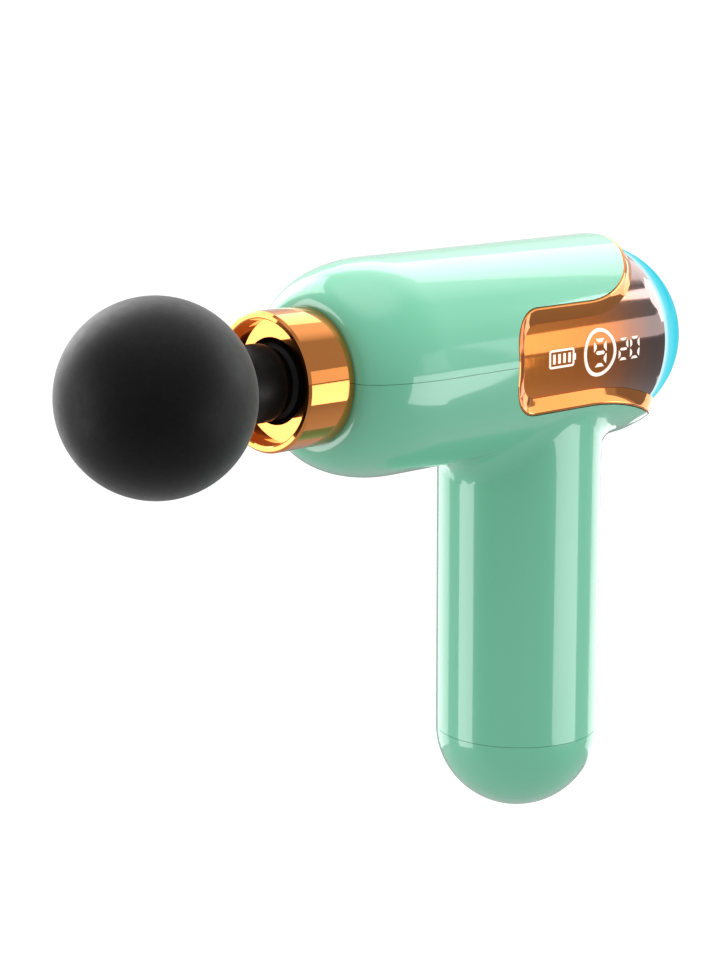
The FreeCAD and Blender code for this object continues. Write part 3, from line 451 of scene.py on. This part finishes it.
def wrap(half, radius):
    """One half of the opening's edge laid on the capsule's -Y side, up to the middle plane."""
    path = []
    previous = None
    for x, z in walk(half, EDGE_STEP):
        depth = depth_squared(x, z, radius)
        if depth < 0:
            px, pz, pd = previous
            t = pd / (pd - depth)
            path.append(Vector((px + (x - px) * t, 0.0, HUB_Z + pz + (z - pz) * t)))
            return path
        path.append(Vector((x, -math.sqrt(depth), HUB_Z + z)))
        previous = (x, z, depth)
    return path


def resample(path, count):
    """count + 1 points at equal distances along a path."""
    lengths = [0.0]
    for a, b in zip(path, path[1:]):
        lengths.append(lengths[-1] + (b - a).length)
    out, j = [], 0
    for i in range(count + 1):
        wanted = lengths[-1] * i / count
        while j < len(path) - 2 and lengths[j + 1] < wanted:
            j += 1
        part = lengths[j + 1] - lengths[j]
        t = (wanted - lengths[j]) / part if part else 0.0
        out.append(path[j].lerp(path[j + 1], min(1.0, max(0.0, t))))
    return out


def edge_loop(inset, radius):
    """The whole edge as a closed loop: forward along the -Y side, round its left end, back to the rear, and
    the same on the +Y side."""
    upper, lower = opening_halves(inset)
    near = list(reversed(resample(wrap(upper, radius), EDGE_COUNT)))
    near += resample(wrap(lower, radius), EDGE_COUNT)[1:]
    far = [Vector((p.x, -p.y, p.z)) for p in reversed(near[1:-1])]
    return near + far


# Inset from the opening's edge and radius from the barrel's axis, in millimetres, round the band's section.
BEZEL_SECTION = [
    (0.10, 22.86), (0.10, 24.70), (0.22, 24.90), (0.42, 24.96), (0.62, 24.90), (0.80, 24.74),
    (2.40, 23.86), (3.95, 22.98), (4.08, 22.92), (4.10, 22.86),
]


def bezel_band():
    """The copper-gold band: a thin rounded lip flush with the shells, then a slope to the window."""
    rings = [edge_loop(inset * MM, radius * MM) for inset, radius in BEZEL_SECTION]
    vertices, faces = loft(rings)
    piece = mesh_object("bezel_band", vertices, faces, "copper_gold", sharp=24.0)
    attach(piece, "housing")
    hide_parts("window_bezel")


# =====================================================================
# Lit marks on the window
# =====================================================================
MARK_RISE = 0.05 * MM
MARK_THICK = 0.08 * MM
MARK_STEP = 0.6 * MM
MARK_CORNER_STEPS = 6
HOOP_STEPS = 72


def on_window(x, z, rise):
    """A point of the side view laid on the window's -Y side."""
    radius = GLASS_R + rise
    return Vector((x, -math.sqrt(radius ** 2 - z ** 2), HUB_Z + z))


def strip(points_a, points_b, loop=False):
    """A thin raised strip on the window between two rows of side-view points."""
    rows = []
    for rise in (MARK_RISE, MARK_RISE + MARK_THICK):
        for points in (points_a, points_b):
            rows.append([on_window(x, z, rise) for x, z in points])
    low_a, low_b, high_a, high_b = rows
    count = len(low_a)
    vertices = low_a + low_b + high_a + high_b
    faces = []
    for i in range(count if loop else count - 1):
        j = (i + 1) % count
        la, lb, ha, hb = i, count + i, 2 * count + i, 3 * count + i
        lan, lbn, han, hbn = j, count + j, 2 * count + j, 3 * count + j
        faces += [(la, lan, lbn, lb), (ha, hb, hbn, han), (la, ha, han, lan), (lb, lbn, hbn, hb)]
    if not loop:
        for i in (0, count - 1):
            faces.append((i, count + i, 3 * count + i, 2 * count + i))
    return vertices, faces


def merged(parts):
    """Several (vertices, faces) pairs as one."""
    vertices, faces = [], []
    for part_vertices, part_faces in parts:
        base = len(vertices)
        vertices += part_vertices
        faces += [tuple(base + i for i in face) for face in part_faces]
    return vertices, faces


# At a segment's ends, as shares of its half width: how far out the inner side is mitred, and what a point
# keeps. The gap before each end is a share of the whole width.
MITRE = 0.85
POINT = 0.15
GAP_SHARE = 0.34


def bar(x0, z0, x1, z1, half, outer):
    """A straight segment of a digit. Its ends are mitred towards the digit's outer side, which is +1 on the
    left of the way from start to end and -1 on the right of it, or come to a point where outer is 0."""
    length = math.hypot(x1 - x0, z1 - z0)
    ux, uz = (x1 - x0) / length, (z1 - z0) / length
    taper = 2 * half if outer else half
    steps = max(2, math.ceil(length / MARK_STEP))
    along = [0.0] + [taper + (length - 2 * taper) * i / steps for i in range(steps + 1)] + [length]
    sides = []
    for side in (1, -1):
        reach = [side * half] * len(along)
        if outer == 0:
            reach[0] = reach[-1] = side * half * POINT
        elif side != outer:
            reach[0] = reach[-1] = outer * half * MITRE
        sides.append([(x0 + ux * s - uz * w, z0 + uz * s + ux * w) for s, w in zip(along, reach)])
    return strip(*sides)


# Each segment's start and end in a digit one wide and one high, and the side of it that lies outwards.
SEGMENTS = {
    "top": ((0, 1), (1, 1), 1),
    "upper_left": ((0, 0.5), (0, 1), 1),
    "upper_right": ((1, 0.5), (1, 1), -1),
    "middle": ((0, 0.5), (1, 0.5), 0),
    "lower_left": ((0, 0), (0, 0.5), 1),
    "lower_right": ((1, 0), (1, 0.5), -1),
    "bottom": ((0, 0), (1, 0), -1),
}
LIT = {
    9: ("top", "upper_left", "upper_right", "middle", "lower_right", "bottom"),
    2: ("top", "upper_right", "middle", "lower_left", "bottom"),
    0: ("top", "upper_left", "upper_right", "lower_left", "lower_right", "bottom"),
}


def digit(number, left, low, width, height, line):
    """One digit of pointed segments; left and low are its corner in the side view, to its outer edges."""
    half = line / 2
    gap = line * GAP_SHARE
    parts = []
    for name in LIT[number]:
        start, end, outer = SEGMENTS[name]
        x0, x1 = [left + half + share * (width - line) for share in (start[0], end[0])]
        z0, z1 = [low + half + share * (height - line) for share in (start[1], end[1])]
        length = math.hypot(x1 - x0, z1 - z0)
        ux, uz = (x1 - x0) / length * gap, (z1 - z0) / length * gap
        parts.append(bar(x0 + ux, z0 + uz, x1 - ux, z1 - uz, half, outer))
    return parts


def hoop(cx, cz, radius, line):
    """A ring whose line has its middle at radius."""
    outer = arc(cx, cz, radius + line / 2, 0, 360, HOOP_STEPS)[:-1]
    inner = arc(cx, cz, radius - line / 2, 0, 360, HOOP_STEPS)[:-1]
    return strip(outer, inner, loop=True)


def rounded_frame(x0, z0, x1, z1, corner, line):
    """A rounded rectangle's outline, as tall and wide as its outer edge."""
    def edge(inset):
        r = corner - inset
        points = []
        for cx, cz, start in ((x1 - corner, z1 - corner, 0), (x0 + corner, z1 - corner, 90),
                              (x0 + corner, z0 + corner, 180), (x1 - corner, z0 + corner, 270)):
            points += arc(cx, cz, r, start, start + 90, MARK_CORNER_STEPS)
        return points
    return strip(edge(0.0), edge(line), loop=True)


def block_mark(x0, z0, x1, z1):
    """A filled rectangle."""
    steps = max(2, math.ceil((z1 - z0) / MARK_STEP))
    left = [(x0, z0 + (z1 - z0) * i / steps) for i in range(steps + 1)]
    right = [(x1, z) for _, z in left]
    return strip(left, right)


BATTERY_X0, BATTERY_X1 = -15.0 * MM, -6.4 * MM
BATTERY_Z0, BATTERY_Z1 = -2.0 * MM, 2.35 * MM
BATTERY_LINE = 0.5 * MM
BATTERY_CORNER = 0.7 * MM
TERMINAL_HALF_HEIGHT = 0.75 * MM
TERMINAL_X0, TERMINAL_X1 = BATTERY_X1 + 0.02 * MM, BATTERY_X1 + 0.48 * MM
CHARGE_BARS = 4
CHARGE_BAR_WIDTH = 0.78 * MM
CHARGE_BAR_PITCH = 1.75 * MM
CHARGE_BAR_INSET = 1.05 * MM


def battery_sign():
    """A battery outline with a terminal and four charge bars."""
    frame_edges = (BATTERY_X0, BATTERY_Z0, BATTERY_X1, BATTERY_Z1)
    parts = [rounded_frame(*frame_edges, BATTERY_CORNER, BATTERY_LINE)]
    middle_x, middle_z = (BATTERY_X0 + BATTERY_X1) / 2, (BATTERY_Z0 + BATTERY_Z1) / 2
    low, high = middle_z - TERMINAL_HALF_HEIGHT, middle_z + TERMINAL_HALF_HEIGHT
    parts.append(block_mark(TERMINAL_X0, low, TERMINAL_X1, high))
    low, high = BATTERY_Z0 + CHARGE_BAR_INSET, BATTERY_Z1 - CHARGE_BAR_INSET
    for i in range(CHARGE_BARS):
        centre = middle_x + (i - (CHARGE_BARS - 1) / 2) * CHARGE_BAR_PITCH
        left = centre - CHARGE_BAR_WIDTH / 2
        parts.append(block_mark(left, low, left + CHARGE_BAR_WIDTH, high))
    return parts


# The ring round the 9 is drawn with the 9's own line.
RING_X, RING_Z, RING_R = 2.8 * MM, 0.15 * MM, 5.3 * MM
BIG_LINE, SMALL_LINE = 0.85 * MM, 0.6 * MM
BIG_LEFT, BIG_LOW = 0.6 * MM, -3.25 * MM
BIG_WIDTH, BIG_HEIGHT = 4.4 * MM, 6.7 * MM
SMALL_LEFTS, SMALL_LOW = (9.55 * MM, 13.7 * MM), -2.5 * MM
SMALL_WIDTH, SMALL_HEIGHT = 3.3 * MM, 5.3 * MM


def marks():
    """Everything lit on the -Y side: battery sign, ring with a 9 in it, and a small 20."""
    parts = battery_sign()
    parts.append(hoop(RING_X, RING_Z, RING_R, BIG_LINE))
    parts += digit(9, BIG_LEFT, BIG_LOW, BIG_WIDTH, BIG_HEIGHT, BIG_LINE)
    for number, left in zip((2, 0), SMALL_LEFTS):
        parts += digit(number, left, SMALL_LOW, SMALL_WIDTH, SMALL_HEIGHT, SMALL_LINE)
    vertices, faces = merged(parts)
    piece = mesh_object("display_marks", vertices, faces, "display_glow", sharp=40.0)
    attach(piece, "housing")


# =====================================================================
# Ball head
# =====================================================================
NECK_R = 8.7 * MM
MOUTH_R = NECK_R + 0.9 * MM
POLE_R = 0.02 * MM
BALL_STEPS = 96
# The rolled-in lip at the ball's mouth: along from the mouth's edge and out from the neck, in millimetres.
MOUTH_LIP = [(0.15, 0.55), (0.05, 0.22), (-0.35, 0.04), (-4.0, 0.04)]


def foam_ball():
    """The foam ball: closed round its neck, where the skin rolls in to meet the stem."""
    mouth = math.asin(MOUTH_R / BALL_R)
    profile = [(BALL_LOW.x, POLE_R)]
    for i in range(1, BALL_STEPS + 1):
        a = math.pi - (math.pi - mouth) * i / BALL_STEPS
        profile.append((BALL_X + BALL_R * math.cos(a), BALL_R * math.sin(a)))
    edge_x = profile[-1][0]
    profile += [(edge_x + along * MM, NECK_R + out * MM) for along, out in MOUTH_LIP]
    rings = turned_on_barrel(profile)
    vertices, faces = loft(rings, closed=False)
    count = len(rings[0])
    faces.append(tuple(range(count)))
    faces.append(tuple(range(len(vertices) - count, len(vertices))))
    piece = mesh_object("foam_ball", vertices, faces, "ball_foam", sharp=60.0)
    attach(piece, "head")
    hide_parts("ball_head")


# =====================================================================
# Studio
# =====================================================================
# Name; azimuths and elevations it fills, in degrees; radiance; distance in metres; whether mirrors show it.
LAMPS = [
    ("top", (-30.0, 30.0), (72.0, 100.0), 3.6, 1.0, False),
    ("fill", (-30.0, 30.0), (-60.0, -10.0), 1.25, 1.0, False),
    ("left_strip", (-96.0, -70.0), (-28.0, 18.0), 3.2, 1.0, True),
    ("right_strip", (56.0, 91.5), (-25.6, -0.3), 2.9, 0.47, True),
    ("collar_band", (65.2, 83.8), (3.3, 18.7), 0.70, 0.31, True),
    ("window_band", (90.2, 118.0), (0.5, 15.5), 1.3, 1.0, True),
    ("back_top", (128.0, 212.0), (31.0, 50.0), 1.7, 1.0, True),
    ("rear_glint", (106.0, 126.0), (8.0, 33.0), 4.5, 1.0, True),
    ("left_rim", (-160.0, -120.0), (-28.0, 35.0), 1.6, 1.0, True),
    ("ball_rim", (-140.0, -105.0), (15.0, 60.0), 2.6, 0.20, True),
    ("right_rim", (122.0, 160.0), (-28.0, 5.0), 1.5, 1.0, True),
]


def aim(thing, target):
    """Turns a lamp or the camera towards target."""
    thing.rotation_euler = (Vector(target) - thing.location).to_track_quat("-Z", "Y").to_euler()


def on_circle(azimuth, elevation, distance, centre=CAMERA_TARGET):
    """A point seen from centre at that azimuth, which counts from -Y towards +X, and that elevation."""
    a, e = math.radians(azimuth), math.radians(elevation)
    return centre + distance * Vector((math.sin(a) * math.cos(e), -math.cos(a) * math.cos(e), math.sin(e)))


def softbox(name, azimuths, elevations, radiance, distance, in_mirrors):
    """A rectangular lamp of even brightness that fills a window of directions, with azimuths counted from
    the camera's own. radiance is what a mirror shows of it, where white is 1."""
    width = 2 * distance * math.tan(math.radians(azimuths[1] - azimuths[0]) / 2)
    height = 2 * distance * math.tan(math.radians(elevations[1] - elevations[0]) / 2)
    data = bpy.data.lights.new(name, "AREA")
    data.shape = "RECTANGLE"
    data.size, data.size_y = width, height
    data.energy = radiance * math.pi * width * height
    light = bpy.data.objects.new(name, data)
    light.location = on_circle(CAMERA_AZIMUTH + sum(azimuths) / 2, sum(elevations) / 2, distance)
    light.visible_glossy = in_mirrors
    aim(light, CAMERA_TARGET)
    bpy.context.scene.collection.objects.link(light)


def build_camera():
    """The camera at the photograph's angle."""
    data = bpy.data.cameras.new("camera")
    data.lens = CAMERA_LENS
    data.sensor_width = CAMERA_SENSOR
    data.sensor_fit = "AUTO"
    data.clip_start, data.clip_end = CAMERA_CLIP
    camera = bpy.data.objects.new("camera", data)
    camera.location = on_circle(CAMERA_AZIMUTH, CAMERA_ELEVATION, CAMERA_DISTANCE)
    aim(camera, CAMERA_TARGET)
    camera.rotation_euler.rotate_axis("Z", math.radians(CAMERA_ROLL))
    bpy.context.scene.collection.objects.link(camera)
    bpy.context.scene.camera = camera


# Brightness of the sky in front of the object, behind it, overhead and in the glow, and where it is seen.
SKY_FRONT = 0.46
SKY_BACK = 0.78
SKY_TOP = 1.4
SKY_GLOW = 1.25
SKY_SEEN = 1.1
# Cosines of the angle from each part's middle between which it fades in.
BACK_FADE = (0.30, 0.50)
TOP_FADE = (0.74, 0.95)
GLOW_FADE = (0.72, 0.97)
# The glow's place, with its azimuth counted from the camera's own.
GLOW_AZIMUTH = 158.0
GLOW_ELEVATION = 42.0


def sky_step(tree, direction, towards, fade, value_low, value_high):
    """A smooth step of brightness as the direction turns towards an axis."""
    dot = tree.nodes.new("ShaderNodeVectorMath")
    dot.operation = "DOT_PRODUCT"
    dot.inputs[1].default_value = towards
    tree.links.new(direction, dot.inputs[0])
    step = tree.nodes.new("ShaderNodeMapRange")
    step.interpolation_type = "SMOOTHSTEP"
    step.inputs["From Min"].default_value, step.inputs["From Max"].default_value = fade
    step.inputs["To Min"].default_value, step.inputs["To Max"].default_value = value_low, value_high
    tree.links.new(dot.outputs["Value"], step.inputs["Value"])
    return step.outputs["Result"]


def build_world():
    """A sky that is dim in front of the object, bright overhead and behind it with a soft glow high at its
    back, and plain white where it is seen."""
    world = bpy.data.worlds.new("studio")
    world.use_nodes = True
    bpy.context.scene.world = world
    tree = world.node_tree
    direction = tree.nodes.new("ShaderNodeTexCoord").outputs["Generated"]
    a = math.radians(CAMERA_AZIMUTH)
    back, up = (-math.sin(a), math.cos(a), 0.0), (0.0, 0.0, 1.0)
    glow = on_circle(CAMERA_AZIMUTH + GLOW_AZIMUTH, GLOW_ELEVATION, 1.0, Vector())
    steps = [
        sky_step(tree, direction, back, BACK_FADE, SKY_FRONT, SKY_BACK),
        sky_step(tree, direction, up, TOP_FADE, 0.0, SKY_TOP),
        sky_step(tree, direction, glow, GLOW_FADE, 0.0, SKY_GLOW),
    ]
    brightest = steps[0]
    for step in steps[1:]:
        brighter = tree.nodes.new("ShaderNodeMath")
        brighter.operation = "MAXIMUM"
        tree.links.new(brightest, brighter.inputs[0])
        tree.links.new(step, brighter.inputs[1])
        brightest = brighter.outputs[0]
    seen = tree.nodes.new("ShaderNodeMix")
    seen.inputs["B"].default_value = SKY_SEEN
    tree.links.new(tree.nodes.new("ShaderNodeLightPath").outputs["Is Camera Ray"], seen.inputs["Factor"])
    tree.links.new(brightest, seen.inputs["A"])
    background = tree.nodes["Background"]
    background.inputs["Color"].default_value = (1, 1, 1, 1)
    tree.links.new(seen.outputs["Result"], background.inputs["Strength"])


FLOOR_DROP = 0.50
FLOOR_R = 14.0
FLOOR_SEGMENTS = 128
FLOOR_GLOW = 0.82


def build_floor():
    """A pale floor well below the object, which is held by its grip. It glows where it is seen, so that it
    ends in the same white as the sky, and throws less light than that back at the object."""
    disc = bmesh.new()
    bmesh.ops.create_circle(disc, cap_ends=True, radius=FLOOR_R, segments=FLOOR_SEGMENTS)
    mesh = bpy.data.meshes.new("floor")
    disc.to_mesh(mesh)
    disc.free()
    floor = bpy.data.objects.new("floor", mesh)
    floor.location = (0, 0, CAP_LOW.z - FLOOR_DROP)
    bpy.context.scene.collection.objects.link(floor)
    s = Shader("pale_floor")
    s.tones((0.34, 0.34, 0.34), (0.36, 0.36, 0.36), 3.0)
    s.put(roughness=0.6, specular_ior_level=0.0, emission_color=(1.0, 1.0, 1.0, 1.0))
    seen = s.node("ShaderNodeLightPath").outputs["Is Camera Ray"]
    s.link(s.span(seen, 0.0, 1.0, 0.0, FLOOR_GLOW), "Emission Strength")
    mesh.materials.append(s.material)


def build_studio():
    """Camera, sky, floor and lamps, shown with plain tones."""
    build_camera()
    build_world()
    build_floor()
    for lamp in LAMPS:
        softbox(*lamp)
    view = bpy.context.scene.view_settings
    view.view_transform = "Standard"
    view.look = "None"


paint_cad_nodes()
bezel_band()
marks()
foam_ball()
build_studio()
